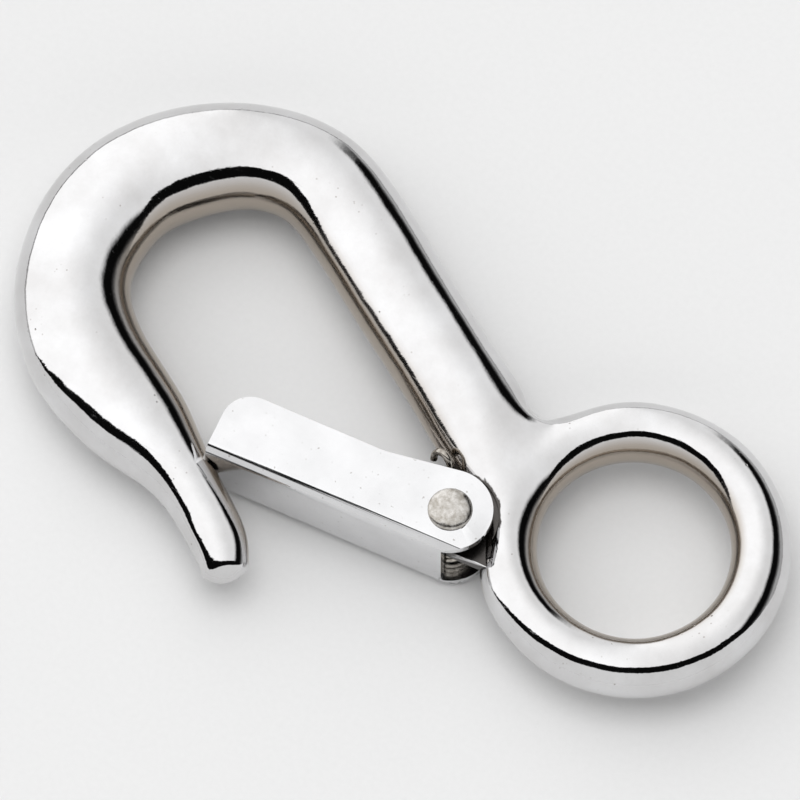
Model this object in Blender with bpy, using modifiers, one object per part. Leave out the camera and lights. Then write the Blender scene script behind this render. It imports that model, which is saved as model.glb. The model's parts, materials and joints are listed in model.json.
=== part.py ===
"""Boat snap: a rigid round-eye hook with a spring gate.

The hook, shank, eye and gate lug are one casting. A gate folded from sheet
swings on a rivet through the lug, and a torsion spring round the rivet holds
it shut against the nose of the hook.

Millimetres are used throughout and MM turns them to metres. The drawing has
its origin at the middle of the eye: X runs from the crown of the hook to the
eye, the shank is on +Y, the gate on -Y, and Z = 0 is the middle plane. The
frame empty then puts the origin under the middle of the whole snap.
"""

import math

import bmesh
import bpy
import numpy as np

MM = 0.001
COLLECTION = "boat_snap"
CLEARANCE = 0.3

# Eye: 1 inch opening in 5/16 inch round stock.
EYE_INNER_RADIUS = 12.7
EYE_STOCK_RADIUS = 3.95
EYE_SECTIONS = 16

# Half sections of the hook, from the nose to the neck: a point on the outer
# edge, a point on the throat edge, and half the thickness between them.
HOOK_SECTIONS = (
    ((-46.3, -33.0), (-41.7, -28.4), 2.5),
    ((-49.7, -31.0), (-44.6, -25.1), 3.3),
    ((-55.1, -28.3), (-51.0, -21.1), 4.0),
    ((-60.5, -27.2), (-56.6, -17.4), 4.6),
    ((-66.6, -26.9), (-61.3, -14.3), 5.2),
    ((-73.8, -25.3), (-66.6, -11.6), 5.6),
    ((-81.5, -21.4), (-71.9, -8.7), 5.75),
    ((-88.6, -13.5), (-75.9, -4.6), 5.75),
    ((-92.4, -2.2), (-76.9, 0.5), 5.75),
    ((-91.4, 9.2), (-76.1, 5.4), 5.75),
    ((-85.7, 18.9), (-73.1, 9.8), 5.7),
    ((-76.4, 26.0), (-69.8, 13.0), 5.5),
    ((-65.5, 28.9), (-65.9, 14.6), 5.3),
    ((-55.1, 26.5), (-60.3, 13.5), 5.1),
    ((-42.9, 20.2), (-49.1, 7.9), 5.0),
    ((-31.0, 14.0), (-36.9, 1.9), 5.0),
    ((-23.9, 10.4), (-28.0, -2.8), 4.9),
)
NOSE_TIP = (-42.1, -33.1)
SHOULDER = 0.76

# Neck, where the shank runs into the eye: a band of eye sections centred on
# this angle opens to take the shank, and its shoulder rises towards it.
NECK_ANGLE = 179.0
NECK_CREASES = ((-20.2, 8.2), (-19.2, -7.5))
NECK_SHOULDER_HEIGHT = 3.4
NECK_TOP_HEIGHT = 4.35

# Pivot of the gate, and the casting's lug round it.
PIVOT = (-22.0, -10.4)
LUG_RADIUS = 4.1
LUG_BOTTOM = 0.45
LUG_TOP = 3.3
LUG_ROOT = ((9.3, -4.1), (9.3, -1.0), (6.0, 4.1))
LUG_BOSS_RADIUS = 3.8
LUG_BOSS_TOP = 4.6
LAND_RADIUS = 6.4
LAND_HEIGHT = 3.4
RIVET_HOLE_RADIUS = 2.2
POCKET_OVERLAP = 0.07

# Gate: a channel folded from sheet, its web outwards. Its own X axis runs
# from the nose end to the pivot, which is its origin.
GATE_ANGLE = 8.3
GATE_HALF_WIDTH = 6.1
GATE_SHEET = 1.2
GATE_BEND_RADIUS = 0.7
GATE_END = -32.7
GATE_EDGE = 3.95
GATE_EDGE_START = -11.2
GATE_CORNER_RADIUS = 4.0
EAR_RADIUS = 5.65
WEB_END = 1.2

# Rivet and spring.
RIVET_RADIUS = 1.9
RIVET_HEAD_RADIUS = 2.95
RIVET_HEAD_HEIGHT = 0.8
RIVET_HEAD_GAP = 0.2
SPRING_WIRE = 1.0
SPRING_RADIUS = 2.95
SPRING_TOP = -0.4
SPRING_BOTTOM = -4.0
SPRING_WHOLE_TURNS = 2
SHANK_ANGLE = 153.4
UPPER_LEG_LENGTH = 9.7
LOWER_LEG_LENGTH = 14.0
LOWER_LEG_LEAN = 0.7
SPRING_SWELL = 0.15

# Middle of the whole snap's outline, and the height of its lowest point.
FRAME_CENTRE = (-36.01, -2.35)
HALF_HEIGHT = GATE_HALF_WIDTH + RIVET_HEAD_GAP + RIVET_HEAD_HEIGHT


def clear_scene():
    for obj in list(bpy.data.objects):
        bpy.data.objects.remove(obj, do_unlink=True)


def collection(name):
    made = bpy.data.collections.new(name)
    bpy.context.scene.collection.children.link(made)
    return made


def empty(name, parent, location):
    made = bpy.data.objects.new(name, None)
    made.empty_display_size = 5 * MM
    made.parent = parent
    made.location = [value * MM for value in location]
    PARTS.objects.link(made)
    return made


def mesh_object(name, points, faces, group, parent):
    mesh = bpy.data.meshes.new(name)
    mesh.from_pydata([tuple(value * MM for value in point) for point in points], [], faces)
    made = bpy.data.objects.new(name, mesh)
    made.parent = parent
    group.objects.link(made)
    return made


def from_bmesh(name, mesh_data, group, parent):
    mesh = bpy.data.meshes.new(name)
    mesh_data.to_mesh(mesh)
    mesh_data.free()
    made = bpy.data.objects.new(name, mesh)
    made.parent = parent
    group.objects.link(made)
    return made


def cylinder(name, radius, bottom, top, group, parent, segments=64):
    data = bmesh.new()
    bmesh.ops.create_cone(data, cap_ends=True, segments=segments, radius1=radius * MM,
                          radius2=radius * MM, depth=(top - bottom) * MM)
    bmesh.ops.translate(data, verts=data.verts, vec=(0, 0, (top + bottom) / 2 * MM))
    return from_bmesh(name, data, group, parent)


def block(name, low, high, group, parent):
    data = bmesh.new()
    bmesh.ops.create_cube(data, size=1.0)
    size = [(b - a) * MM for a, b in zip(low, high)]
    middle = [(a + b) / 2 * MM for a, b in zip(low, high)]
    bmesh.ops.scale(data, verts=data.verts, vec=size)
    bmesh.ops.translate(data, verts=data.verts, vec=middle)
    return from_bmesh(name, data, group, parent)


def plate(name, outline, half_thickness, group, parent):
    """A flat outline filled and extruded both ways along its own Z, as a mesh."""
    curve = bpy.data.curves.new(name, "CURVE")
    curve.dimensions = "2D"
    curve.fill_mode = "BOTH"
    curve.extrude = half_thickness * MM
    spline = curve.splines.new("POLY")
    spline.points.add(len(outline) - 1)
    for point, (x, y) in zip(spline.points, outline):
        point.co = (x * MM, y * MM, 0.0, 1.0)
    spline.use_cyclic_u = True
    drawn = bpy.data.objects.new(name + "_outline", curve)
    group.objects.link(drawn)
    return to_mesh(drawn, name, group, parent)


def to_mesh(drawn, name, group, parent):
    bpy.context.view_layer.update()
    seen = drawn.evaluated_get(bpy.context.evaluated_depsgraph_get())
    mesh = bpy.data.meshes.new_from_object(seen)
    mesh.name = name
    data = bmesh.new()
    data.from_mesh(mesh)
    bmesh.ops.remove_doubles(data, verts=data.verts, dist=0.00001)
    bmesh.ops.recalc_face_normals(data, faces=data.faces)
    data.to_mesh(mesh)
    data.free()
    made = bpy.data.objects.new(name, mesh)
    made.matrix_world = drawn.matrix_world
    made.parent = parent
    group.objects.link(made)
    bpy.data.objects.remove(drawn, do_unlink=True)
    return made


def boolean(target, other, operation):
    modifier = target.modifiers.new(f"{operation.lower()} {other.name}", "BOOLEAN")
    modifier.operation = operation
    modifier.solver = "EXACT"
    modifier.object = other
    other.hide_render = True
    other.display_type = "WIRE"


def finish(target, name, colour, roughness, metallic=1.0):
    material = bpy.data.materials.new(name)
    material.use_nodes = True
    shader = material.node_tree.nodes["Principled BSDF"]
    shader.inputs["Base Color"].default_value = (*colour, 1.0)
    shader.inputs["Roughness"].default_value = roughness
    shader.inputs["Metallic"].default_value = metallic
    target.data.materials.clear()
    target.data.materials.append(material)


def arc(centre, radius, start, end, steps):
    angles = [math.radians(start + (end - start) * i / steps) for i in range(steps + 1)]
    return [(centre[0] + radius * math.cos(a), centre[1] + radius * math.sin(a)) for a in angles]


def section(outer, inner, half_thickness, shoulder=SHOULDER):
    """Eight points round a section, from the outer edge over the top to the inner edge and back."""
    outer = np.array(outer)
    inner = np.array(inner)
    middle = (outer + inner) / 2
    half = (outer - inner) / 2
    across = (1.0, shoulder, 0.0, -shoulder, -1.0, -shoulder, 0.0, shoulder)
    height = (0.0, shoulder, 1.0, shoulder, 0.0, -shoulder, -1.0, -shoulder)
    return [(*(middle + half * a), half_thickness * h) for a, h in zip(across, height)]


def eye_section(angle):
    """The round stock's section at an angle round the eye, in section's order."""
    direction = np.array((math.cos(angle), math.sin(angle)))
    outer = direction * (EYE_INNER_RADIUS + 2 * EYE_STOCK_RADIUS)
    return section(outer, direction * EYE_INNER_RADIUS, EYE_STOCK_RADIUS, math.sqrt(0.5))


def hook_cage():
    """Points that the casting's surface passes through, and the quads between them."""
    points = []
    faces = []
    for outer, inner, half_thickness in HOOK_SECTIONS:
        points += section(outer, inner, half_thickness)
    count = len(HOOK_SECTIONS)
    rings = [list(range(8 * i, 8 * i + 8)) for i in range(count)]
    tip = len(points)
    points.append((*NOSE_TIP, 0.0))
    for k in range(0, 8, 2):
        faces.append((tip, rings[0][k], rings[0][k + 1], rings[0][(k + 2) % 8]))

    first = len(points)
    step = 2 * math.pi / EYE_SECTIONS
    for i in range(EYE_SECTIONS):
        points += eye_section(math.radians(NECK_ANGLE) + (i - 1) * step)
    eye = [list(range(first + 8 * i, first + 8 * i + 8)) for i in range(EYE_SECTIONS)]
    for i, here in enumerate(eye):
        there = eye[(i + 1) % EYE_SECTIONS]
        for k in range(8):
            in_neck = i < 2 and k in (0, 7)
            if not in_neck:
                faces.append((here[k], there[k], there[(k + 1) % 8], here[(k + 1) % 8]))

    mouth = [eye[0][0], eye[0][1], eye[1][1], eye[2][1], eye[2][0], eye[2][7], eye[1][7], eye[0][7]]
    heights = (0.0, NECK_SHOULDER_HEIGHT, NECK_TOP_HEIGHT, NECK_SHOULDER_HEIGHT)
    for index, height in zip(mouth, heights + tuple(-h for h in heights)):
        points[index] = (*points[index][:2], height)
    points[mouth[0]] = (*NECK_CREASES[0], 0.0)
    points[mouth[4]] = (*NECK_CREASES[1], 0.0)

    rings.append(mouth)
    for here, there in zip(rings, rings[1:]):
        for k in range(8):
            faces.append((here[k], there[k], there[(k + 1) % 8], here[(k + 1) % 8]))

    unused = eye[1][0]
    points.pop(unused)
    faces = [tuple(i - (i > unused) for i in face) for face in faces]
    return points, faces


def fit_cage(points, faces):
    """Moves the cage out so that its smooth limit surface passes through the points."""
    count = len(points)
    sides = [set() for _ in range(count)]
    corners = [set() for _ in range(count)]
    for face in faces:
        for k in range(4):
            sides[face[k]].update((face[k - 1], face[(k + 1) % 4]))
            corners[face[k]].add(face[(k + 2) % 4])
    weights = np.zeros((count, count))
    for i in range(count):
        valence = len(sides[i])
        scale = valence * (valence + 5)
        weights[i, i] = valence ** 2 / scale
        weights[i, list(sides[i])] += 4 / scale
        weights[i, list(corners[i])] += 1 / scale
    return np.linalg.solve(weights, np.array(points))


def make_hook_body(frame, pivot):
    points, faces = hook_cage()
    body = mesh_object("hook_body", fit_cage(points, faces), faces, PARTS, frame)
    data = bmesh.new()
    data.from_mesh(body.data)
    bmesh.ops.recalc_face_normals(data, faces=data.faces)
    data.to_mesh(body.data)
    data.free()
    smooth = body.modifiers.new("casting", "SUBSURF")
    smooth.levels = 2
    smooth.render_levels = 2

    # Lands for the gate's ears on both faces, and a pocket for the spring.
    reach = GATE_HALF_WIDTH + 2
    front_land = cylinder("cut_front_land", LAND_RADIUS, LAND_HEIGHT, reach, CUTTERS, pivot)
    back_land = cylinder("cut_back_land", LAND_RADIUS, -reach, -LAND_HEIGHT, CUTTERS, pivot)
    pocket_radius = SPRING_RADIUS + SPRING_WIRE / 2 + CLEARANCE + SPRING_SWELL
    pocket_top = LUG_BOTTOM + POCKET_OVERLAP
    pocket = cylinder("cut_spring_pocket", pocket_radius, -reach - 1, pocket_top, CUTTERS, pivot, 60)
    for cutter in (front_land, back_land, pocket):
        boolean(body, cutter, "DIFFERENCE")

    # Lug with the root that runs it into the eye, and the boss that meets the gate's ear.
    lug_outline = arc((0, 0), LUG_RADIUS, 90, 270, 32) + list(LUG_ROOT)
    lug = plate("add_lug", lug_outline, (LUG_TOP - LUG_BOTTOM) / 2, CUTTERS, pivot)
    lug.location.z = (LUG_TOP + LUG_BOTTOM) / 2 * MM
    lug.rotation_euler.z = math.radians(GATE_ANGLE)
    boss = cylinder("add_lug_boss", LUG_BOSS_RADIUS, LUG_TOP - 1, LUG_BOSS_TOP, CUTTERS, pivot, 48)
    for shape in (lug, boss):
        boolean(body, shape, "UNION")
    hole = cylinder("cut_rivet_hole", RIVET_HOLE_RADIUS, -reach, reach, CUTTERS, pivot, 32)
    boolean(body, hole, "DIFFERENCE")

    # Seat in the nose for the end of the gate, swept by the gate's far corner.
    turn = math.radians(GATE_ANGLE)
    sweep = math.hypot(GATE_END, EAR_RADIUS) + CLEARANCE
    floor = EAR_RADIUS + CLEARANCE
    low = 180 + math.degrees(math.asin(floor / sweep))
    seat_outline = arc((0, 0), sweep, 176, low, 8) + [(GATE_END + 12, -floor), (GATE_END + 12, 0)]
    seat = plate("cut_nose_seat", seat_outline, reach, CUTTERS, pivot)
    seat.rotation_euler.z = turn
    boolean(body, seat, "DIFFERENCE")
    body.data.shade_smooth()
    body.data.set_sharp_from_angle(angle=math.radians(40))
    finish(body, "nickel plated casting", (0.66, 0.64, 0.61), 0.12)
    return body


def gate_outline():
    """Side view of the gate: straight web edge, round ear, swept and straight upper edge."""
    reach = math.hypot(GATE_EDGE_START, GATE_EDGE)
    lean = math.asin(EAR_RADIUS / reach) - math.atan2(GATE_EDGE, -GATE_EDGE_START)
    corner = (GATE_END + GATE_CORNER_RADIUS, GATE_EDGE - GATE_CORNER_RADIUS)
    outline = [(GATE_END, -EAR_RADIUS)]
    outline += arc((0, 0), EAR_RADIUS, -90, 90 + math.degrees(lean), 24)
    outline.append((GATE_EDGE_START, GATE_EDGE))
    outline += arc(corner, GATE_CORNER_RADIUS, 90, 180, 8)
    return outline


def channel_outline():
    """End view of the folded sheet, its web down: x runs across the gate and y up from the pivot."""
    half = GATE_HALF_WIDTH
    inner = half - GATE_SHEET
    bottom = -EAR_RADIUS
    top = EAR_RADIUS + 1
    bend = GATE_BEND_RADIUS
    outline = arc((-half + bend, bottom + bend), bend, 180, 270, 5)
    outline += arc((half - bend, bottom + bend), bend, 270, 360, 5)
    outline += [(half, top), (inner, top), (inner, bottom + GATE_SHEET)]
    outline += [(-inner, bottom + GATE_SHEET), (-inner, top), (-half, top)]
    return outline


def make_gate(pivot):
    gate = plate("gate", gate_outline(), GATE_HALF_WIDTH + 1, PARTS, pivot)
    gate.rotation_euler.z = math.radians(GATE_ANGLE)
    length = EAR_RADIUS - GATE_END + 4
    channel = plate("keep_channel", channel_outline(), length / 2, CUTTERS, gate)
    channel.rotation_euler.y = math.radians(90)
    channel.location.x = (GATE_END + EAR_RADIUS) / 2 * MM
    boolean(gate, channel, "INTERSECT")
    inner = GATE_HALF_WIDTH - GATE_SHEET
    window = block("cut_ear_window", (WEB_END, -EAR_RADIUS - 1, -inner),
                   (EAR_RADIUS + 1, EAR_RADIUS + 1, inner), CUTTERS, gate)
    hole_radius = RIVET_RADIUS + CLEARANCE
    hole = cylinder("cut_ear_holes", hole_radius, -GATE_HALF_WIDTH - 1, GATE_HALF_WIDTH + 1,
                    CUTTERS, gate, 32)
    for cutter in (window, hole):
        boolean(gate, cutter, "DIFFERENCE")
    gate.data.shade_smooth()
    gate.data.set_sharp_from_angle(angle=math.radians(30))
    finish(gate, "nickel plated sheet", (0.70, 0.69, 0.67), 0.28)
    return gate


def make_rivet(pivot):
    """A turned profile: domed head, shank, domed head."""
    under = GATE_HALF_WIDTH + RIVET_HEAD_GAP
    rise = RIVET_HEAD_HEIGHT
    dome = (RIVET_HEAD_RADIUS ** 2 + rise ** 2) / (2 * rise)
    head = []
    for i in range(6):
        radius = RIVET_HEAD_RADIUS * i / 5
        head.append((radius, under + rise - dome + math.sqrt(dome ** 2 - radius ** 2)))
    head[-1] = (RIVET_HEAD_RADIUS, under + 0.25)
    half = head + [(RIVET_HEAD_RADIUS, under), (RIVET_RADIUS, under)]
    profile = half + [(radius, -height) for radius, height in reversed(half)]
    points = [(radius, 0.0, height) for radius, height in profile]
    edges = [(i, i + 1) for i in range(len(points) - 1)]
    mesh = bpy.data.meshes.new("gate_rivet")
    mesh.from_pydata([tuple(v * MM for v in point) for point in points], edges, [])
    rivet = bpy.data.objects.new("gate_rivet", mesh)
    rivet.parent = pivot
    PARTS.objects.link(rivet)
    turned = rivet.modifiers.new("turned", "SCREW")
    turned.steps = 32
    turned.render_steps = 32
    turned.use_merge_vertices = True
    turned.merge_threshold = 0.00001
    finish(rivet, "nickel plated rivet", (0.52, 0.50, 0.47), 0.42)
    return rivet


def spring_route():
    """Leg along the shank, clockwise coil, and leg along the gate's web, each leg tangent to the coil."""
    start = math.radians(SHANK_ANGLE - 90)
    end = math.radians(GATE_ANGLE - 90)
    total = start - end + SPRING_WHOLE_TURNS * 2 * math.pi
    along_shank = np.array((math.cos(start + math.pi / 2), math.sin(start + math.pi / 2), 0.0))
    along_web = np.array((-math.cos(math.radians(GATE_ANGLE)), -math.sin(math.radians(GATE_ANGLE)), 0.0))
    off_web = np.array((along_web[1], -along_web[0], 0.0))
    steps = 34
    coil = []
    for i in range(steps + 1):
        angle = start - total * i / steps
        height = SPRING_TOP + (SPRING_BOTTOM - SPRING_TOP) * i / steps
        coil.append(np.array((SPRING_RADIUS * math.cos(angle), SPRING_RADIUS * math.sin(angle), height)))
    lift = np.array((0.0, 0.0, 1.0))
    upper = [coil[0] + along_shank * UPPER_LEG_LENGTH * part + lift * rise
             for part, rise in ((1.0, 1.6), (0.9, 1.5), (0.75, 0.7), (0.55, 0.0))]
    lower = [coil[-1] + (along_web * LOWER_LEG_LENGTH + off_web * LOWER_LEG_LEAN) * part
             for part in (0.3, 0.65, 1.0)]
    return upper + coil + lower


def make_spring(pivot):
    """A torsion spring wound round the rivet from one length of wire."""
    route = spring_route()
    curve = bpy.data.curves.new("gate_spring", "CURVE")
    curve.dimensions = "3D"
    curve.bevel_depth = SPRING_WIRE / 2 * MM
    curve.bevel_resolution = 2
    curve.use_fill_caps = True
    spline = curve.splines.new("POLY")
    spline.points.add(len(route) - 1)
    for point, place in zip(spline.points, route):
        point.co = (*(value * MM for value in place), 1.0)
    drawn = bpy.data.objects.new("gate_spring_wire", curve)
    PARTS.objects.link(drawn)
    spring = to_mesh(drawn, "gate_spring", PARTS, pivot)
    spring.data.shade_smooth()
    finish(spring, "spring steel wire", (0.40, 0.38, 0.35), 0.35)
    return spring


clear_scene()
PARTS = collection(COLLECTION)
CUTTERS = collection("cutters")
FRAME = empty("snap_frame", None, (-FRAME_CENTRE[0], -FRAME_CENTRE[1], HALF_HEIGHT))
PIVOT_EMPTY = empty("gate_pivot", FRAME, (*PIVOT, 0.0))
make_hook_body(FRAME, PIVOT_EMPTY)
make_gate(PIVOT_EMPTY)
make_rivet(PIVOT_EMPTY)
make_spring(PIVOT_EMPTY)
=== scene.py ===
"""Looks of the boat snap: casting, rivet, spring and gate, in the order they go together."""

import json
import math

import bmesh
import bpy
import numpy as np
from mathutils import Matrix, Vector, noise


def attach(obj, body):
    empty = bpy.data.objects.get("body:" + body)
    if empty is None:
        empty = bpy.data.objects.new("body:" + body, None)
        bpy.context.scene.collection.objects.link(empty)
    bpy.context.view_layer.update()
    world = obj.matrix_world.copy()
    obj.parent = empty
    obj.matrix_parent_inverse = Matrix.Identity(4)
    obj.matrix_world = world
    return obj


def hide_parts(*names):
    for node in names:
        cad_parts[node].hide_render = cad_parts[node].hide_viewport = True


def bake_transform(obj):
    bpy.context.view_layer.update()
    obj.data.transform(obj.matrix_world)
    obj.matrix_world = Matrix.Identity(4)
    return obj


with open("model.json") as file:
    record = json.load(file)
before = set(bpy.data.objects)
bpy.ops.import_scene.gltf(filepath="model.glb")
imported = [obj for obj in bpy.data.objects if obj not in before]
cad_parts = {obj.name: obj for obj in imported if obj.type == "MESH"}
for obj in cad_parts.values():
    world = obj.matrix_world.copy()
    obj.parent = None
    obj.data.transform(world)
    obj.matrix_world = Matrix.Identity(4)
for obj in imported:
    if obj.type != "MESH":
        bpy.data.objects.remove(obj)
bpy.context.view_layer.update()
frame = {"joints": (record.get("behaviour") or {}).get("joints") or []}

# ---------------------------------------------------------------------------
# Hook body. One malleable iron casting: nose, bowl, broad shank, round eye and
# the lug under the gate's ears. It is fettled, tumbled smooth and nickel
# plated, so its edges are soft and its skin is bright but not quite even.
# ---------------------------------------------------------------------------
MM = 0.001
BODY, GATE = "hook", "gate"

EYE_INNER_RADIUS = 12.7
EYE_STOCK_RADIUS = 3.95
EYE_OUTER_RADIUS = EYE_INNER_RADIUS + 2 * EYE_STOCK_RADIUS
EYE_SECTIONS = 16
NECK_ANGLE = 179.0
NECK_CREASES = ((-20.2, 8.2), (-19.2, -7.5))
NECK_HEIGHTS = (0.0, 3.4, 4.35, 3.4)
AROUND = 8
SHOULDER, ROUND_SHOULDER = 0.722, math.sqrt(0.5)
SMOOTHING_STEPS = 3

# Sections from the nose to the neck: outer edge, throat edge, half thickness.
HOOK_SECTIONS = (
    ((-45.0, -33.95), (-41.0, -30.05), 1.75),
    ((-46.3, -33.0), (-41.7, -28.4), 2.5),
    ((-49.7, -31.0), (-44.6, -25.1), 3.3),
    ((-55.1, -28.3), (-51.0, -21.1), 4.0),
    ((-60.5, -27.2), (-56.6, -17.4), 4.6),
    ((-66.6, -26.9), (-61.3, -14.3), 5.2),
    ((-73.8, -25.3), (-66.6, -11.6), 5.6),
    ((-81.5, -21.4), (-71.9, -8.7), 5.75),
    ((-88.6, -13.5), (-75.9, -4.6), 5.75),
    ((-92.4, -2.2), (-76.9, 0.5), 5.75),
    ((-91.4, 9.2), (-76.1, 5.4), 5.75),
    ((-85.7, 18.9), (-73.1, 9.8), 5.7),
    ((-76.4, 26.0), (-69.8, 13.0), 5.5),
    ((-65.5, 28.9), (-65.9, 14.6), 5.3),
    ((-55.1, 26.5), (-60.3, 13.5), 5.1),
    ((-42.9, 20.2), (-49.1, 7.9), 5.0),
    ((-31.0, 14.0), (-36.9, 1.9), 5.0),
    ((-23.9, 10.4), (-28.0, -2.8), 4.9),
)
NOSE_TIP = (-42.2, -32.95)

# Drawn from the middle of the eye, and placed by the gate's hinge.
PIVOT = (-22.0, -10.4)
hinge = Vector(frame["joints"][0]["pos_m"])
origin = hinge - Vector((*PIVOT, 0.0)) * MM

LUG_RADIUS, LUG_BOTTOM, LUG_TOP = 4.1, 0.45, 2.5
LUG_ROOT = ((9.3, -4.1), (9.3, -1.0), (6.0, 4.1))
BOSS_RADIUS, BOSS_TOP = 4.0, 4.6
LAND_RADIUS, LAND_HEIGHT = 6.4, 3.4
POCKET_RADIUS, POCKET_OVERLAP = 3.9, 0.07
PIN_HOLE_RADIUS = 2.2
GATE_ANGLE = 8.3
GATE_END = -32.7
EAR_RADIUS = 5.65
SEAT_GAP, SEAT_LENGTH, SEAT_FROM = 0.3, 12.0, 176.0
CUT_REACH, OVERSIZE = 8.1, 1.0
MERGE_REACH = 0.005
CASTING_SHARP = 40.0


def arc(centre, radius, start, end, steps):
    angles = [math.radians(start + (end - start) * i / steps) for i in range(steps + 1)]
    return [(centre[0] + radius * math.cos(a), centre[1] + radius * math.sin(a)) for a in angles]


def section(outer, inner, half_thickness, shoulder=SHOULDER):
    """Eight points round the bar, from its outer edge over the top to the throat and back."""
    outer, inner = np.array(outer), np.array(inner)
    middle, half = (outer + inner) / 2, (outer - inner) / 2
    across = (1.0, shoulder, 0.0, -shoulder, -1.0, -shoulder, 0.0, shoulder)
    height = (0.0, shoulder, 1.0, shoulder, 0.0, -shoulder, -1.0, -shoulder)
    return [(*(middle + half * a), half_thickness * h) for a, h in zip(across, height)]


def ring_faces(here, there, skipped=()):
    """The quads between two sections that follow each other."""
    sides = [k for k in range(AROUND) if k not in skipped]
    return [(here[k], there[k], there[(k + 1) % AROUND], here[(k + 1) % AROUND]) for k in sides]


def hook_cage():
    """Points on the casting's surface, eight to a section, and the quads between them."""
    points, faces = [], []
    for outer, inner, half_thickness in HOOK_SECTIONS:
        points += section(outer, inner, half_thickness)
    rings = [list(range(AROUND * i, AROUND * i + AROUND)) for i in range(len(HOOK_SECTIONS))]
    tip = len(points)
    points.append((*NOSE_TIP, 0.0))
    for k in range(0, AROUND, 2):
        faces.append((tip, rings[0][k], rings[0][k + 1], rings[0][(k + 2) % AROUND]))

    first = len(points)
    for i in range(EYE_SECTIONS):
        angle = math.radians(NECK_ANGLE) + (i - 1) * 2 * math.pi / EYE_SECTIONS
        direction = np.array((math.cos(angle), math.sin(angle)))
        outer, inner = direction * EYE_OUTER_RADIUS, direction * EYE_INNER_RADIUS
        points += section(outer, inner, EYE_STOCK_RADIUS, ROUND_SHOULDER)
    eye = [list(range(first + AROUND * i, first + AROUND * i + AROUND)) for i in range(EYE_SECTIONS)]
    for i, here in enumerate(eye):
        # The neck opens out of the outer side of the eye's first two stretches.
        neck_sides = (0, AROUND - 1) if i < 2 else ()
        faces += ring_faces(here, eye[(i + 1) % EYE_SECTIONS], neck_sides)

    mouth = [eye[0][0], eye[0][1], eye[1][1], eye[2][1], eye[2][0], eye[2][7], eye[1][7], eye[0][7]]
    for index, height in zip(mouth, NECK_HEIGHTS + tuple(-h for h in NECK_HEIGHTS)):
        points[index] = (*points[index][:2], height)
    points[mouth[0]] = (*NECK_CREASES[0], 0.0)
    points[mouth[4]] = (*NECK_CREASES[1], 0.0)
    rings.append(mouth)
    for here, there in zip(rings, rings[1:]):
        faces += ring_faces(here, there)

    unused = eye[1][0]
    points.pop(unused)
    return points, [tuple(i - (i > unused) for i in face) for face in faces]


def fit_cage(points, faces):
    """Moves the cage out so that its smooth limit surface passes through the points."""
    count = len(points)
    sides = [set() for _ in range(count)]
    corners = [set() for _ in range(count)]
    for face in faces:
        for k in range(4):
            sides[face[k]].update((face[k - 1], face[(k + 1) % 4]))
            corners[face[k]].add(face[(k + 2) % 4])
    # A cage point's place on the limit surface: valence squared of itself, four
    # of each neighbour along a side and one of each across a quad.
    weights = np.zeros((count, count))
    for i in range(count):
        valence = len(sides[i])
        scale = valence * (valence + 5)
        weights[i, i] = valence ** 2 / scale
        weights[i, list(sides[i])] += 4 / scale
        weights[i, list(corners[i])] += 1 / scale
    return np.linalg.solve(weights, np.array(points))


def add_object(name, data, place=origin):
    made = bpy.data.objects.new(name, data)
    made.location = place
    bpy.context.scene.collection.objects.link(made)
    return made


def mesh_of(name, points, edges=(), faces=()):
    """A mesh from points in millimetres, its faces turned outwards."""
    mesh = bpy.data.meshes.new(name)
    mesh.from_pydata([tuple(value * MM for value in point) for point in points], edges, faces)
    data = bmesh.new()
    data.from_mesh(mesh)
    bmesh.ops.recalc_face_normals(data, faces=data.faces)
    data.to_mesh(mesh)
    data.free()
    return mesh


def settled(drawn, name, sharp):
    """The object as its modifiers leave it, as a plain mesh in world places."""
    bpy.context.view_layer.update()
    seen = drawn.evaluated_get(bpy.context.evaluated_depsgraph_get())
    mesh = bpy.data.meshes.new_from_object(seen)
    mesh.transform(drawn.matrix_world)
    mesh.name = name
    data = bmesh.new()
    data.from_mesh(mesh)
    bmesh.ops.remove_doubles(data, verts=data.verts, dist=MERGE_REACH * MM)
    bmesh.ops.recalc_face_normals(data, faces=data.faces)
    data.to_mesh(mesh)
    data.free()
    bpy.data.objects.remove(drawn, do_unlink=True)
    mesh.shade_smooth()
    mesh.set_sharp_from_angle(angle=math.radians(sharp))
    return add_object(name, mesh, (0, 0, 0))


def cylinder(radius, bottom, top, segments=96):
    """A round solid on the rivet's axis."""
    mesh = bpy.data.meshes.new("cutter")
    data = bmesh.new()
    bmesh.ops.create_cone(data, cap_ends=True, segments=segments, radius1=radius * MM,
                          radius2=radius * MM, depth=(top - bottom) * MM)
    bmesh.ops.translate(data, verts=data.verts, vec=(0, 0, (top + bottom) / 2 * MM))
    data.to_mesh(mesh)
    data.free()
    return add_object("cutter", mesh, hinge)


def plate(outline, bottom, top, name="cutter"):
    """A flat outline in the gate's own axes, filled and extruded, as a mesh at the hinge."""
    curve = bpy.data.curves.new(name, "CURVE")
    curve.dimensions = "2D"
    curve.fill_mode = "BOTH"
    curve.extrude = (top - bottom) / 2 * MM
    spline = curve.splines.new("POLY")
    spline.points.add(len(outline) - 1)
    for point, (x, y) in zip(spline.points, outline):
        point.co = (x * MM, y * MM, 0.0, 1.0)
    spline.use_cyclic_u = True
    drawn = add_object("drawn", curve, (0, 0, (top + bottom) / 2 * MM))
    made = settled(drawn, name, sharp=30.0)
    made.location = hinge
    made.rotation_euler.z = math.radians(GATE_ANGLE)
    return made


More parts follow.
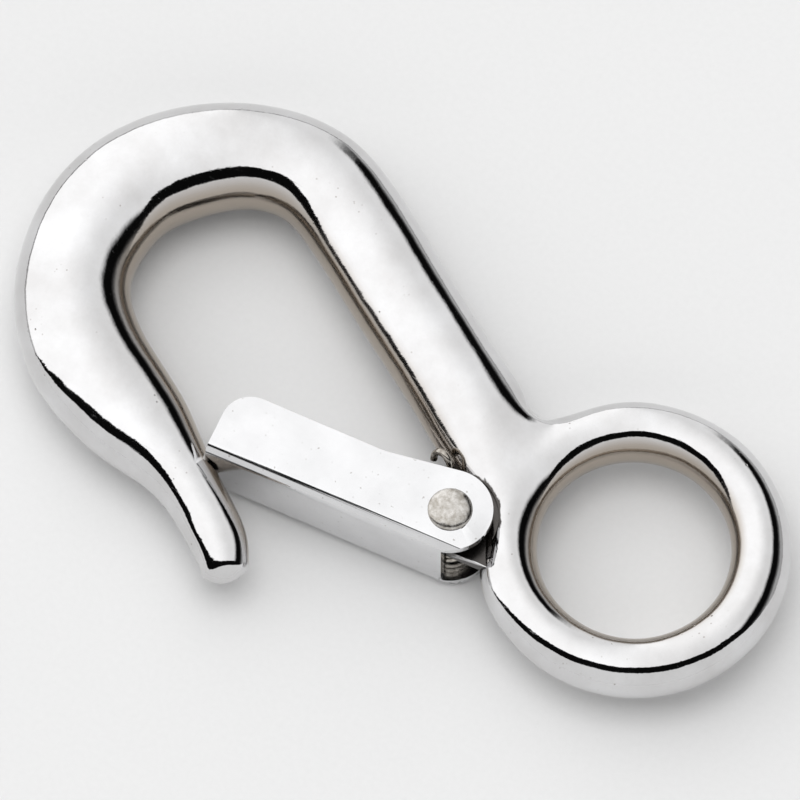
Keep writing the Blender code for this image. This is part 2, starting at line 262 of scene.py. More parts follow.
def combine(target, others, operation):
    """Booleans onto the target, one after another, then the others go."""
    for other in others:
        modifier = target.modifiers.new(operation, "BOOLEAN")
        modifier.operation = operation
        modifier.solver = "EXACT"
        modifier.object = other
    bpy.context.view_layer.update()
    seen = target.evaluated_get(bpy.context.evaluated_depsgraph_get())
    mesh = bpy.data.meshes.new_from_object(seen)
    target.modifiers.clear()
    target.data = mesh
    for other in others:
        bpy.data.objects.remove(other, do_unlink=True)


points, faces = hook_cage()
cage = add_object("cage", mesh_of("cage", fit_cage(points, faces), faces=faces))
smooth = cage.modifiers.new("casting", "SUBSURF")
smooth.levels = SMOOTHING_STEPS
smooth.render_levels = SMOOTHING_STEPS

upper_land = cylinder(LAND_RADIUS, LAND_HEIGHT, CUT_REACH)
lower_land = cylinder(LAND_RADIUS, -CUT_REACH, -LAND_HEIGHT)
pocket = cylinder(POCKET_RADIUS, -CUT_REACH - OVERSIZE, LUG_BOTTOM + POCKET_OVERLAP, segments=80)
combine(cage, [upper_land, lower_land, pocket], "DIFFERENCE")
lug_outline = arc((0, 0), LUG_RADIUS, 90, 270, steps=48) + list(LUG_ROOT)
lug = plate(lug_outline, LUG_BOTTOM, LUG_TOP)
boss = cylinder(BOSS_RADIUS, LUG_TOP - OVERSIZE, BOSS_TOP, segments=72)
combine(cage, [lug, boss], "UNION")

# The seat in the nose clears the sweep of the gate's far corner.
sweep = math.hypot(GATE_END, EAR_RADIUS) + SEAT_GAP
floor_depth = EAR_RADIUS + SEAT_GAP
low = 180 + math.degrees(math.asin(floor_depth / sweep))
seat_end = GATE_END + SEAT_LENGTH
seat_outline = arc((0, 0), sweep, SEAT_FROM, low, steps=16) + [(seat_end, -floor_depth), (seat_end, 0)]
seat = plate(seat_outline, -CUT_REACH, CUT_REACH)
pin_hole = cylinder(PIN_HOLE_RADIUS, -CUT_REACH, CUT_REACH, segments=48)
combine(cage, [pin_hole, seat], "DIFFERENCE")
casting = settled(cage, "casting", sharp=CASTING_SHARP)

# The faces turned into the throat and the eye's bore are painted a little brown, a painted reflection of
# the parts across from them, and get a duller skin; the corner round the lug is painted dark, a painted
# shade.
THROAT_SPINE = (Vector((-62.0, -1.0)), Vector((-38.0, -12.0)))
FACING_FROM, FACING_FULL = 0.42, 0.8
CREVICE_REACH, CREVICE_FADE = 6.35, 0.75
RAGGED_DEPTH, RAGGED_SIZE = 0.5, 1.1
ROOT_REACH, ROOT_MARGIN, RING_SKIN = 8.3, 0.1, 19.0
WAVE_LENGTH, WAVE_HEIGHT, FINE_WAVE = 8.0, 0.05, 0.4


def smooth_step(value, low, high):
    part = max(0.0, min(1.0, (value - low) / (high - low)))
    return part * part * (3 - 2 * part)


# The first value marks the faces turned into the throat and the eye's bore, for a painted reflection in
# the colour and a duller skin.
inner_reflection_and_dull = casting.data.attributes.new("inner_reflection_and_dull", "FLOAT", "POINT")
# The second value marks painted shade round the ear and over the lug's root.
crevice = casting.data.attributes.new("crevice", "FLOAT", "POINT")
spine_from, spine_to = THROAT_SPINE
spine = spine_to - spine_from
for vertex in casting.data.vertices:
    spot = ((vertex.co - origin) / MM).xy
    if spot.length < EYE_OUTER_RADIUS:
        inward = -spot
    else:
        along = max(0.0, min(1.0, (spot - spine_from).dot(spine) / spine.length_squared))
        inward = spine_from + spine * along - spot
    facing = inward.normalized().dot(vertex.normal.xy)
    inner_reflection_and_dull.data[vertex.index].value = smooth_step(facing, FACING_FROM, FACING_FULL)
    # Painted shade: full within a ragged reach of the rivet and over the lug's root, fading out beyond.
    ragged = RAGGED_DEPTH * noise.noise(vertex.co / (RAGGED_SIZE * MM))
    away = (vertex.co - hinge).xy.length / MM + ragged
    crevice_shade = 1.0 - smooth_step(away, CREVICE_REACH, CREVICE_REACH + CREVICE_FADE)
    level = (vertex.co.z - origin.z) / MM
    on_root = LUG_BOTTOM - ROOT_MARGIN < level < LUG_TOP + ROOT_MARGIN and spot.length > RING_SKIN
    if on_root and away < ROOT_REACH:
        crevice_shade = 1.0
    crevice.data[vertex.index].value = crevice_shade

# Fettling and tumbling leave long shallow waves in the skin.
for vertex in casting.data.vertices:
    wave = noise.noise(vertex.co / (WAVE_LENGTH * MM))
    wave += FINE_WAVE * noise.noise(vertex.co / (FINE_WAVE * WAVE_LENGTH * MM))
    vertex.co += vertex.normal * wave * WAVE_HEIGHT * MM
casting.data.shade_smooth()
casting.data.set_sharp_from_angle(angle=math.radians(CASTING_SHARP))


def linear(code):
    """An sRGB hex colour as linear red, green, blue and alpha."""
    parts = [int(code[i:i + 2], 16) / 255 for i in (1, 3, 5)]
    return (*[c / 12.92 if c <= 0.04045 else ((c + 0.055) / 1.055) ** 2.4 for c in parts], 1.0)


def add_node(tree, kind, settings=None, links=None):
    """Adds a node; settings name its properties or sockets, links name sockets and their sources."""
    node = tree.nodes.new(kind)
    for key, value in (settings or {}).items():
        if isinstance(key, int) or key in node.inputs.keys():
            node.inputs[key].default_value = value
        else:
            setattr(node, key, value)
    for key, source in (links or {}).items():
        tree.links.new(source, node.inputs[key])
    return node


def new_metal(name):
    material = bpy.data.materials.new(name)
    material.use_nodes = True
    tree = material.node_tree
    shader = tree.nodes["Principled BSDF"]
    shader.inputs["Metallic"].default_value = 1.0
    place = add_node(tree, "ShaderNodeTexCoord").outputs["Object"]
    return material, tree, shader, place


def bright_nickel_plate():
    """Bright nickel over tumbled iron: near mirror, with pits, hairlines and dull patches, a painted
    reflection on the inner faces and painted shade round the lug.
    """
    material, tree, shader, place = new_metal("bright nickel plate on malleable iron")
    # Sizes in millimetres; hairlines are drawn coarser than real so that they show.
    patch, pit_spacing, pit_group, hairline = 9.0, 1.1, 6.0, 0.35
    fleck, grain_size, ripple_length = 0.5, 0.45, 2.6
    hairline_stretch, hairline_turn = 0.06, 0.45

    # The plate's own colour drifts in broad patches.
    patches = add_node(tree, "ShaderNodeTexNoise",
                       {"Scale": 1 / (patch * MM), "Detail": 5.0, "Roughness": 0.6},
                       {"Vector": place}).outputs["Fac"]
    tint = add_node(tree, "ShaderNodeValToRGB", links={"Fac": patches})
    tint.color_ramp.elements[0].position = 0.35
    tint.color_ramp.elements[0].color = linear("#CDCCCC")
    tint.color_ramp.elements[1].position = 0.7
    tint.color_ramp.elements[1].color = linear("#DCDCDD")

    # Pits: the middles of small cells, only where a second noise is high.
    cells = add_node(tree, "ShaderNodeTexVoronoi", {"Scale": 1 / (pit_spacing * MM), "Randomness": 1.0},
                     {"Vector": place}).outputs["Distance"]
    pit = add_node(tree, "ShaderNodeMapRange", {"From Max": 0.16, "To Min": 1.0, "To Max": 0.0},
                   {"Value": cells}).outputs["Result"]
    where = add_node(tree, "ShaderNodeTexNoise",
                     {"Scale": 1 / (pit_group * MM), "Detail": 3.0, "Roughness": 0.7},
                     {"Vector": place}).outputs["Fac"]
    rare = add_node(tree, "ShaderNodeMapRange", {"From Min": 0.55, "From Max": 0.66},
                    {"Value": where}).outputs["Result"]
    pits = add_node(tree, "ShaderNodeMath", {"operation": "MULTIPLY"}, {0: pit, 1: rare}).outputs[0]

    # Hairlines from handling run mostly one way.
    stretch = add_node(tree, "ShaderNodeMapping",
                       {"Scale": (hairline_stretch, 1.0, 1.0), "Rotation": (0.0, 0.0, hairline_turn)},
                       {"Vector": place}).outputs["Vector"]
    hair = add_node(tree, "ShaderNodeTexNoise",
                    {"Scale": 1 / (hairline * MM), "Detail": 2.0, "Roughness": 0.5},
                    {"Vector": stretch}).outputs["Fac"]
    hairlines = add_node(tree, "ShaderNodeMapRange", {"From Min": 0.66, "From Max": 0.74},
                         {"Value": hair}).outputs["Result"]

    # Colour: stained pits, a brown painted reflection on the faces turned into the throat and the eye, and
    # painted shade round the ear and the lug.
    # This mask carries the painted reflection on the inner faces, and also their duller skin.
    dull = add_node(tree, "ShaderNodeAttribute", {"attribute_name": "inner_reflection_and_dull"}).outputs["Fac"]
    # Painted shade round the ear and the lug, ragged at its edge by a fine noise; it also adds roughness
    # below.
    shade_in_corner = add_node(tree, "ShaderNodeAttribute", {"attribute_name": "crevice"}).outputs["Fac"]
    flecks = add_node(tree, "ShaderNodeTexNoise",
                      {"Scale": 1 / (fleck * MM), "Detail": 3.0, "Roughness": 0.6},
                      {"Vector": place}).outputs["Fac"]
    ragged_shade = add_node(tree, "ShaderNodeMath", {"operation": "MULTIPLY_ADD", 1: 0.7},
                       {0: flecks, 2: shade_in_corner}).outputs[0]
    painted_shade = add_node(tree, "ShaderNodeMapRange", {"From Min": 0.78, "From Max": 1.0},
                     {"Value": ragged_shade}).outputs["Result"]
    painted_shade_cover = add_node(tree, "ShaderNodeMath", {"operation": "MULTIPLY", 1: 0.9},
                          {0: painted_shade}).outputs[0]
    stained = add_node(tree, "ShaderNodeMix",
                       {"data_type": "RGBA", "blend_type": "MULTIPLY", 7: linear("#A89C90")},
                       {0: pits, 6: tint.outputs["Color"]}).outputs[2]
    # A little brown on the faces turned into the throat and the eye: a painted reflection of the parts
    # they face.
    with_inner_reflection = add_node(tree, "ShaderNodeMix", {"data_type": "RGBA", 7: linear("#A9A096")},
                       {0: dull, 6: stained}).outputs[2]
    # Near black where the painted shade is full: painted shade under the gate's ears.
    shaded_colour = add_node(tree, "ShaderNodeMix", {"data_type": "RGBA", 7: linear("#2C2620")},
                      {0: painted_shade_cover, 6: with_inner_reflection}).outputs[2]
    tree.links.new(shaded_colour, shader.inputs["Base Color"])

    # Gloss: each fault adds its own share of roughness to the plate's.
    rough = add_node(tree, "ShaderNodeMapRange",
                     {"From Min": 0.3, "From Max": 0.75, "To Min": 0.02, "To Max": 0.075},
                     {"Value": patches}).outputs["Result"]
    for fault, share in ((hairlines, 0.12), (pits, 0.3), (dull, 0.09), (painted_shade, 0.22)):
        rough = add_node(tree, "ShaderNodeMath", {"operation": "MULTIPLY_ADD", 1: share},
                         {0: fault, 2: rough}).outputs[0]
    tree.links.new(rough, shader.inputs["Roughness"])

    # Relief: casting grain under tumbling ripples under the pits.
    grain = add_node(tree, "ShaderNodeTexNoise",
                     {"Scale": 1 / (grain_size * MM), "Detail": 2.0, "Roughness": 0.5},
                     {"Vector": place}).outputs["Fac"]
    skin = add_node(tree, "ShaderNodeBump", {"Strength": 0.5, "Distance": 0.01 * MM}, {"Height": grain})
    ripple = add_node(tree, "ShaderNodeTexNoise",
                      {"Scale": 1 / (ripple_length * MM), "Detail": 1.0, "Roughness": 0.3},
                      {"Vector": place}).outputs["Fac"]
    tumbled = add_node(tree, "ShaderNodeBump", {"Strength": 1.0, "Distance": 0.035 * MM},
                       {"Height": ripple, "Normal": skin.outputs["Normal"]})
    dents = add_node(tree, "ShaderNodeBump", {"Strength": 0.6, "Distance": 0.06 * MM, "invert": True},
                     {"Height": pits, "Normal": tumbled.outputs["Normal"]})
    tree.links.new(dents.outputs["Normal"], shader.inputs["Normal"])
    return material


def dress(piece, material):
    piece.data.materials.clear()
    piece.data.materials.append(material)


dress(casting, bright_nickel_plate())
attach(casting, BODY)
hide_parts("hook_body")

# ---------------------------------------------------------------------------
# Gate rivet. A solid steel rivet through both ears and the lug, its second
# head set cold in a cup tool, so both heads are low domes with a worn crown
# and a dull plated finish.
# ---------------------------------------------------------------------------
RIVET_RADIUS = 1.9
HEAD_RADIUS = 2.95
HEAD_BASE = 6.08
HEAD_EDGE = 0.16
HEAD_RISE = 0.88
HEAD_UNDERCUT = 0.03
HEAD_STEPS = 18
CROWN_POWER, RIM_POWER = 2.5, 0.55
TURNING_STEPS, SEAM_REACH = 72, 0.001


def head_profile():
    """The head from its centre to its underside: a crown nearly flat, then a rounding rim."""
    outline = []
    for i in range(HEAD_STEPS + 1):
        part = math.sin(math.pi / 2 * i / HEAD_STEPS)
        dome = (1 - min(1.0, part ** CROWN_POWER)) ** RIM_POWER
        outline.append((HEAD_RADIUS * part, HEAD_BASE + HEAD_EDGE + dome * (HEAD_RISE - HEAD_EDGE)))
    return outline + [(HEAD_RADIUS - HEAD_UNDERCUT, HEAD_BASE), (RIVET_RADIUS, HEAD_BASE)]


upper = head_profile()
profile = upper + [(radius, -height) for radius, height in reversed(upper)]
profile_points = [(radius, 0.0, height) for radius, height in profile]
profile_edges = [(i, i + 1) for i in range(len(profile) - 1)]
turned = add_object("rivet profile", mesh_of("rivet profile", profile_points, profile_edges), hinge)
screw = turned.modifiers.new("turned", "SCREW")
screw.steps = TURNING_STEPS
screw.render_steps = TURNING_STEPS
screw.use_merge_vertices = True
screw.merge_threshold = SEAM_REACH * MM
rivet = settled(turned, "rivet", sharp=60.0)


def dull_nickel_rivet():
    """Plated steel marked by the setting tool: satin, a little brown, mottled at the crown."""
    material, tree, shader, place = new_metal("dull nickel on a cold-set steel rivet")
    mottle_size, tool_mark = 0.9, 0.8
    mottle = add_node(tree, "ShaderNodeTexNoise",
                      {"Scale": 1 / (mottle_size * MM), "Detail": 6.0, "Roughness": 0.65},
                      {"Vector": place}).outputs["Fac"]
    tint = add_node(tree, "ShaderNodeValToRGB", links={"Fac": mottle})
    tint.color_ramp.elements[0].position = 0.36
    tint.color_ramp.elements[0].color = linear("#9D9890")
    tint.color_ramp.elements[1].position = 0.66
    tint.color_ramp.elements[1].color = linear("#D2CFCB")
    tree.links.new(tint.outputs["Color"], shader.inputs["Base Color"])
    rough = add_node(tree, "ShaderNodeMapRange",
                     {"From Min": 0.3, "From Max": 0.7, "To Min": 0.16, "To Max": 0.3},
                     {"Value": mottle})
    tree.links.new(rough.outputs["Result"], shader.inputs["Roughness"])
    marks = add_node(tree, "ShaderNodeTexVoronoi", {"Scale": 1 / (tool_mark * MM), "feature": "SMOOTH_F1"},
                     {"Vector": place}).outputs["Distance"]
    bump = add_node(tree, "ShaderNodeBump", {"Strength": 0.45, "Distance": 0.12 * MM}, {"Height": marks})
    tree.links.new(bump.outputs["Normal"], shader.inputs["Normal"])
    return material


dress(rivet, dull_nickel_rivet())
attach(rivet, GATE)
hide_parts("gate_rivet")

# ---------------------------------------------------------------------------
# Gate spring. Torsion spring wound cold from about 1 mm drawn steel wire: one
# leg lies along the shank, the coil sits round the rivet beside the lug, and
# the other leg pushes on the gate's web. It winds up as the gate opens.
# ---------------------------------------------------------------------------
WIRE_RADIUS, WIRE_ROUNDNESS = 0.5, 5
COIL_RADIUS = 2.95
COIL_TOP, COIL_BOTTOM = -0.4, -4.0
COIL_WHOLE_TURNS = 2
COIL_STEPS = 150
SHANK_ANGLE = 153.4
LEAD_IN = (2.0, 0.4)
LOWER_LEG, LOWER_LEG_LEAN, LOWER_LEG_STEPS = 14.0, 0.9, 16
# The upper leg climbs past the lug, lies along the shank and ends in a small hook.
UPPER_LEG = ((-6.5, 6.1, 2.4), (-6.6, 6.5, 3.4), (-5.9, 6.9, 4.3), (-4.4, 6.5, 4.3), (-3.4, 5.6, 2.6),
             (-2.5, 4.8, 0.2))
BEND_ROUNDS = 3

start = math.radians(SHANK_ANGLE - 90)
end = math.radians(GATE_ANGLE - 90)
total = start - end + COIL_WHOLE_TURNS * 2 * math.pi
coil = []
for i in range(COIL_STEPS + 1):
    angle = start - total * i / COIL_STEPS
    height = COIL_TOP + (COIL_BOTTOM - COIL_TOP) * i / COIL_STEPS
    coil.append(Vector((COIL_RADIUS * math.cos(angle), COIL_RADIUS * math.sin(angle), height)))
along_shank = Vector((math.cos(start + math.pi / 2), math.sin(start + math.pi / 2), 0.0))
along_web = Vector((-math.cos(math.radians(GATE_ANGLE)), -math.sin(math.radians(GATE_ANGLE)), 0.0))
to_web = Vector((-along_web.y, along_web.x, 0.0))
upper_leg = [Vector(knot) for knot in UPPER_LEG] + [coil[0] + along_shank * reach for reach in LEAD_IN]
# Cutting every corner a few times over bends the leg smoothly.
for _ in range(BEND_ROUNDS):
    cut = [upper_leg[0]]
    for here, there in zip(upper_leg, upper_leg[1:]):
        cut += [here.lerp(there, 0.25), here.lerp(there, 0.75)]
    upper_leg = cut + [upper_leg[-1]]
lower_leg = []
for i in range(1, LOWER_LEG_STEPS + 1):
    sideways = to_web * LOWER_LEG_LEAN * i / LOWER_LEG_STEPS
    lower_leg.append(coil[-1] + along_web * LOWER_LEG * i / LOWER_LEG_STEPS + sideways)

wire = bpy.data.curves.new("spring wire", "CURVE")
wire.dimensions = "3D"
wire.bevel_depth = WIRE_RADIUS * MM
wire.bevel_resolution = WIRE_ROUNDNESS
wire.use_fill_caps = True
spline = wire.splines.new("POLY")
route = upper_leg + coil + lower_leg
spline.points.add(len(route) - 1)
for point, spot in zip(spline.points, route):
    point.co = (*(spot * MM), 1.0)
spring = settled(add_object("spring wire", wire, hinge), "spring", sharp=50.0)


def drawn_spring_wire():
    """Drawn wire, thinly plated: grey-brown and finely uneven, with a soft shine."""
    material, tree, shader, place = new_metal("drawn spring steel wire")
    mark_size = 0.5
    fine = add_node(tree, "ShaderNodeTexNoise", {"Scale": 1 / (mark_size * MM), "Detail": 4.0},
                    {"Vector": place}).outputs["Fac"]
    tint = add_node(tree, "ShaderNodeValToRGB", links={"Fac": fine})
    tint.color_ramp.elements[0].position = 0.35
    tint.color_ramp.elements[0].color = linear("#8F8981")
    tint.color_ramp.elements[1].position = 0.7
    tint.color_ramp.elements[1].color = linear("#C2BDB5")
    tree.links.new(tint.outputs["Color"], shader.inputs["Base Color"])
    rough = add_node(tree, "ShaderNodeMapRange",
                     {"From Min": 0.3, "From Max": 0.7, "To Min": 0.1, "To Max": 0.2},
                     {"Value": fine})
    tree.links.new(rough.outputs["Result"], shader.inputs["Roughness"])
    bump = add_node(tree, "ShaderNodeBump", {"Strength": 0.2, "Distance": 0.01 * MM}, {"Height": fine})
    tree.links.new(bump.outputs["Normal"], shader.inputs["Normal"])
    return material


dress(spring, drawn_spring_wire())
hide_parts("gate_spring")
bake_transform(spring)

# ---------------------------------------------------------------------------
# Gate. Blanked from 1.2 mm steel sheet, folded to a channel with its web
# outwards, its ears pierced for the rivet, then deburred and plated. The fold
# is rounded, the cut edges are just broken, and the faces show rolling lines.
# ---------------------------------------------------------------------------
GATE_HALF_WIDTH = 6.1
SHEET = 1.2
FOLD_RADIUS = 1.5
GATE_EDGE = 3.95
EDGE_START = -11.2
HOLLOW_RADIUS = 14.0
CORNER_RADIUS = 4.0
WEB_END = 1.2
EAR_HOLE_RADIUS, HOLE_REACH = RIVET_RADIUS + 0.1, 8.0
FLAT_WITHIN = 1.0
BROKEN_EDGE, BROKEN_STEPS, BROKEN_ABOVE = 0.13, 3, 50.0

# The cheek: the ear's round, its swept edge, and the straight edge with its
# corner. A wide hollow radius joins the swept edge and the straight one.
ear_reach = math.hypot(EDGE_START, GATE_EDGE)
lean = math.degrees(math.asin(EAR_RADIUS / ear_reach) - math.atan2(GATE_EDGE, -EDGE_START))
setback = HOLLOW_RADIUS * math.tan(math.radians(lean) / 2)
hollow_centre = (EDGE_START - setback, GATE_EDGE + HOLLOW_RADIUS)
corner = (GATE_END + CORNER_RADIUS, GATE_EDGE - CORNER_RADIUS)
cheek = [(GATE_END, -EAR_RADIUS)] + arc((0, 0), EAR_RADIUS, -90, 90 + lean, steps=64)
cheek += arc(hollow_centre, HOLLOW_RADIUS, 270 + lean, 270, steps=8)
cheek += arc(corner, CORNER_RADIUS, 90, 180, steps=24)
gate = plate(cheek, -GATE_HALF_WIDTH - OVERSIZE, GATE_HALF_WIDTH + OVERSIZE, "gate blank")

# The folded section, drawn across the gate and stood along it.
inner, bottom, top = GATE_HALF_WIDTH - SHEET, -EAR_RADIUS, EAR_RADIUS + OVERSIZE
fold_across, fold_up = GATE_HALF_WIDTH - FOLD_RADIUS, bottom + FOLD_RADIUS
channel = arc((-fold_across, fold_up), FOLD_RADIUS, 180, 270, steps=14)
channel += arc((fold_across, fold_up), FOLD_RADIUS, 270, 360, steps=14)
channel += [(GATE_HALF_WIDTH, top), (inner, top), (inner, bottom + SHEET)]
channel += [(-inner, bottom + SHEET), (-inner, top), (-GATE_HALF_WIDTH, top)]
folded = plate(channel, GATE_END - 2 * OVERSIZE, EAR_RADIUS + 2 * OVERSIZE, "folded channel")
folded.rotation_euler = (0.0, math.radians(90), math.radians(GATE_ANGLE))
combine(gate, [folded], "INTERSECT")

# The web stops short of the ears, so that the spring and the lug fit between.
window_low, window_far = bottom - OVERSIZE, EAR_RADIUS + OVERSIZE
window_outline = [(WEB_END, window_low), (window_far, window_low), (window_far, top), (WEB_END, top)]
window = plate(window_outline, -inner, inner)
ear_hole = cylinder(EAR_HOLE_RADIUS, -HOLE_REACH, HOLE_REACH, segments=48)
combine(gate, [window, ear_hole], "DIFFERENCE")

cleaned = bmesh.new()
cleaned.from_mesh(gate.data)
bmesh.ops.remove_doubles(cleaned, verts=cleaned.verts, dist=MERGE_REACH * MM)
bmesh.ops.dissolve_limit(cleaned, angle_limit=math.radians(FLAT_WITHIN), verts=cleaned.verts,
                         edges=cleaned.edges)
cleaned.to_mesh(gate.data)
cleaned.free()
broken = gate.modifiers.new("broken edges", "BEVEL")
broken.width = BROKEN_EDGE * MM
broken.segments = BROKEN_STEPS
broken.limit_method = "ANGLE"
broken.angle_limit = math.radians(BROKEN_ABOVE)
gate_piece = settled(gate, "gate_channel", sharp=30.0)


def satin_nickel_sheet():
    """Rolled sheet under thin nickel: satin along the rolling direction, with rubs and specks."""
    material, tree, shader, place = new_metal("satin nickel plate on rolled steel sheet")
    # Sizes in millimetres; rolling lines are drawn coarser than real so that they show.
    cloud, rolling_line, speck_size, rolling_stretch = 7.0, 0.3, 0.55, 0.05

    clouds = add_node(tree, "ShaderNodeTexNoise",
                      {"Scale": 1 / (cloud * MM), "Detail": 6.0, "Roughness": 0.62},
                      {"Vector": place}).outputs["Fac"]
    tint = add_node(tree, "ShaderNodeValToRGB", links={"Fac": clouds})
    tint.color_ramp.elements[0].position = 0.32
    tint.color_ramp.elements[0].color = linear("#D6D6D7")
    tint.color_ramp.elements[1].position = 0.68
    tint.color_ramp.elements[1].color = linear("#E0E0E1")
    specks = add_node(tree, "ShaderNodeTexNoise",
                      {"Scale": 1 / (speck_size * MM), "Detail": 2.0, "Roughness": 0.4},
                      {"Vector": place}).outputs["Fac"]
    speck = add_node(tree, "ShaderNodeMapRange", {"From Min": 0.70, "From Max": 0.76, "To Max": 0.6},
                     {"Value": specks}).outputs["Result"]
    mixed = add_node(tree, "ShaderNodeMix",
                     {"data_type": "RGBA", "blend_type": "MULTIPLY", 7: linear("#B4AEA6")},
                     {0: speck, 6: tint.outputs["Color"]}).outputs[2]
    tree.links.new(mixed, shader.inputs["Base Color"])

    rolling = add_node(tree, "ShaderNodeMapping",
                       {"Scale": (rolling_stretch, 1.0, 1.0),
                        "Rotation": (0.0, 0.0, -math.radians(GATE_ANGLE))},
                       {"Vector": place}).outputs["Vector"]
    lines = add_node(tree, "ShaderNodeTexNoise", {"Scale": 1 / (rolling_line * MM), "Detail": 3.0},
                     {"Vector": rolling}).outputs["Fac"]
    base = add_node(tree, "ShaderNodeMapRange",
                    {"From Min": 0.3, "From Max": 0.7, "To Min": 0.07, "To Max": 0.14},
                    {"Value": clouds}).outputs["Result"]
    rough = add_node(tree, "ShaderNodeMath", {"operation": "MULTIPLY_ADD", 1: 0.06},
                     {0: lines, 2: base}).outputs[0]
    tree.links.new(rough, shader.inputs["Roughness"])
    brushed = add_node(tree, "ShaderNodeBump", {"Strength": 0.15, "Distance": 0.012 * MM},
                       {"Height": lines})
    rubbed = add_node(tree, "ShaderNodeBump", {"Strength": 0.2, "Distance": 0.08 * MM},
                      {"Height": clouds, "Normal": brushed.outputs["Normal"]})
    tree.links.new(rubbed.outputs["Normal"], shader.inputs["Normal"])
    return material


dress(gate_piece, satin_nickel_sheet())
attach(gate_piece, GATE)
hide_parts("gate")

# ---------------------------------------------------------------------------
# Table and light. A pale card table inside a white tent, with the dark gap in
# the tent that the lens looks through, and a long lens square on to it. A
# panel overhead lights the card, and the metal mirrors only the tent.
# ---------------------------------------------------------------------------
AZIMUTH, ELEVATION = math.radians(33.0), math.radians(67.5)
DISTANCE = 1.6
VIEW_WIDTH = 104.74
EYE_RIGHT_OF_CENTRE, EYE_BELOW_CENTRE = 30.66, 19.64
SENSOR = 36.0
TABLE_SIZE, TABLE_ROUGHNESS, FIBRE_SIZE = 3.0, 0.9, 0.8
PANEL_SIZE, PANEL_POWER, PANEL_HEIGHT = 1.2, 6.5, 1.5
TENT_STRENGTH, GAP_STRENGTH, LEAST_LIFT = 1.45, 0.004, 0.02

right = Vector((math.cos(AZIMUTH), math.sin(AZIMUTH), 0.0))
near = Vector((math.sin(AZIMUTH), -math.cos(AZIMUTH), 0.0))
towards = near * math.cos(ELEVATION) + Vector((0, 0, math.sin(ELEVATION)))
upward = towards.cross(right)
lens_data = bpy.data.cameras.new("lens")
lens_data.sensor_width = SENSOR
lens_data.lens = SENSOR * DISTANCE / (VIEW_WIDTH * MM)
lens_data.clip_start = 0.01
middle = origin + (upward * EYE_BELOW_CENTRE - right * EYE_RIGHT_OF_CENTRE) * MM
lens = add_object("lens", lens_data, middle + towards * DISTANCE)
lens.rotation_euler = towards.to_track_quat("Z", "Y").to_euler()
bpy.context.scene.camera = lens

bpy.ops.mesh.primitive_plane_add(size=TABLE_SIZE, location=(0, 0, 0))
table = bpy.context.object
table.name = "table"
# Matt card: no shine, and a faint mottling of its fibres, drawn coarse.
card = bpy.data.materials.new("matt white card")
card.use_nodes = True
card_tree = card.node_tree
card_shader = card_tree.nodes["Principled BSDF"]
card_place = add_node(card_tree, "ShaderNodeTexCoord").outputs["Object"]
fibre = add_node(card_tree, "ShaderNodeTexNoise", {"Scale": 1 / (FIBRE_SIZE * MM), "Detail": 3.0},
                 {"Vector": card_place}).outputs["Fac"]
card_tint = add_node(card_tree, "ShaderNodeValToRGB", links={"Fac": fibre})
card_tint.color_ramp.elements[0].color = linear("#E0E0E0")
card_tint.color_ramp.elements[1].color = linear("#E5E5E5")
card_tree.links.new(card_tint.outputs["Color"], card_shader.inputs["Base Color"])
card_shader.inputs["Roughness"].default_value = TABLE_ROUGHNESS
table.data.materials.append(card)

# The tent: how far each ray leans to the right, to the near side and upwards.
world = bpy.data.worlds.new("white tent")
bpy.context.scene.world = world
world.use_nodes = True
tent = world.node_tree
sky = add_node(tent, "ShaderNodeTexCoord").outputs["Generated"]
flattened = add_node(tent, "ShaderNodeVectorMath", {"operation": "MULTIPLY", 1: (1.0, 1.0, 0.0)},
                     {0: sky}).outputs["Vector"]
compass = add_node(tent, "ShaderNodeVectorMath", {"operation": "NORMALIZE"},
                   {0: flattened}).outputs["Vector"]
across, forward, height, turned_right = [
    add_node(tent, "ShaderNodeVectorMath", {"operation": "DOT_PRODUCT", 1: axis},
             {0: source}).outputs["Value"]
    for source, axis in ((sky, tuple(right)), (sky, tuple(near)), (sky, (0.0, 0.0, 1.0)),
                         (compass, tuple(right)))]

# Where a ray meets the flat lid, in lid heights to the right and to the near side. Level rays
# are lifted a little, because they would never meet it.
lifted = add_node(tent, "ShaderNodeMath", {"operation": "MAXIMUM", 1: LEAST_LIFT},
                  {0: height}).outputs[0]
lid_across, lid_forward = [
    add_node(tent, "ShaderNodeMath", {"operation": "DIVIDE"}, {0: part, 1: lifted}).outputs[0]
    for part in (across, forward)]

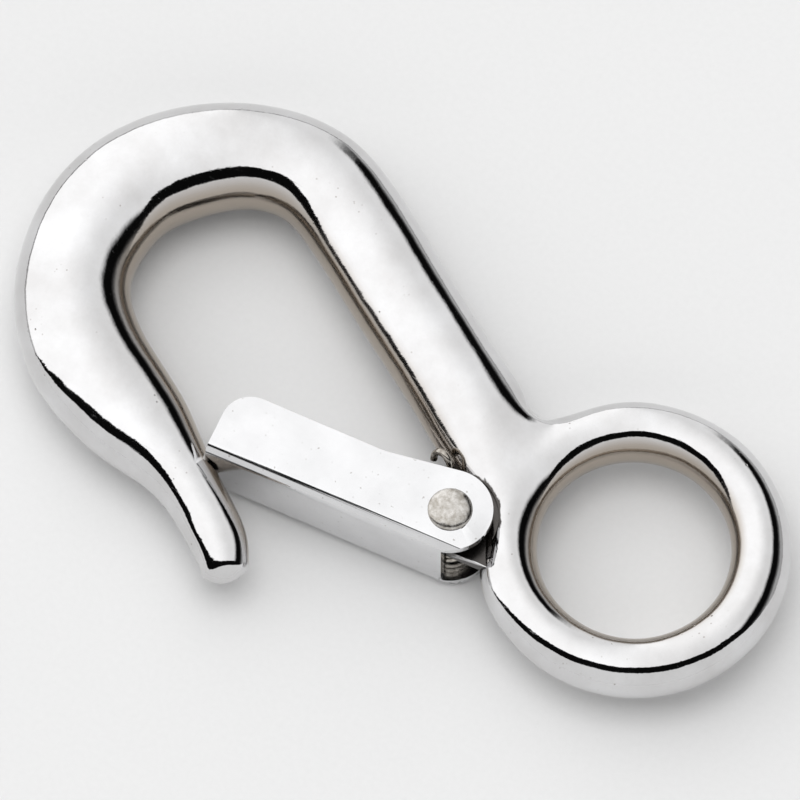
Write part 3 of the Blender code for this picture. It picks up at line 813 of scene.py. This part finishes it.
# Each edge: what it is read from, where it begins and ends, and the light before and past it.
EDGES = {
    "lid front": (lid_forward, 0.3, 0.33, 1.0, 0.0),
    "lid left": (lid_across, -9.0, -15.0, 1.0, 0.4),
    "lid back": (lid_forward, -14.0, -22.0, 1.0, 0.5),
    "lid shade": (lid_across, -0.3, 0.5, 1.0, 0.7),
    "lid right": (lid_across, 0.72, 1.12, 0.0, 1.0),
    "right side": (turned_right, 0.34, 0.54, 0.0, 1.0),
    "front wall": (lid_forward, 0.8, 0.85, 0.0, 0.6),
    "right wall": (lid_across, 1.9, 5.0, 0.0, 0.32),
}
edge = {}
for name, (source, begins, ends, before, past) in EDGES.items():
    edge[name] = add_node(tent, "ShaderNodeMapRange",
                          {"interpolation_type": "SMOOTHSTEP", "From Min": begins, "From Max": ends,
                           "To Min": before, "To Max": past}, {"Value": source}).outputs["Result"]

# The lid's right edge falls short of the wall, on the right side only.
right_gap = add_node(tent, "ShaderNodeMath", {"operation": "MULTIPLY"},
                     {0: edge["lid right"], 1: edge["right side"]}).outputs[0]
lid = add_node(tent, "ShaderNodeMath", {"operation": "SUBTRACT", 0: 1.0}, {1: right_gap}).outputs[0]
for name in ("lid front", "lid left", "lid back", "lid shade"):
    lid = add_node(tent, "ShaderNodeMath", {"operation": "MULTIPLY"}, {0: lid, 1: edge[name]}).outputs[0]
brightness = lid
for name in ("front wall", "right wall"):
    brightness = add_node(tent, "ShaderNodeMath", {"operation": "MAXIMUM"},
                          {0: brightness, 1: edge[name]}).outputs[0]
glow = add_node(tent, "ShaderNodeMath", {"operation": "MULTIPLY_ADD", 1: TENT_STRENGTH, 2: GAP_STRENGTH},
                {0: brightness}).outputs[0]
background = tent.nodes["Background"]
tent.links.new(glow, background.inputs["Strength"])
background.inputs["Color"].default_value = linear("#FFFFFF")

panel_data = bpy.data.lights.new("overhead panel", "AREA")
panel_data.shape = "DISK"
panel_data.size = PANEL_SIZE
panel_data.energy = PANEL_POWER
panel = add_object("overhead panel", panel_data, (0.0, 0.0, PANEL_HEIGHT))
panel.visible_glossy = False
bpy.context.scene.view_settings.view_transform = "Standard"
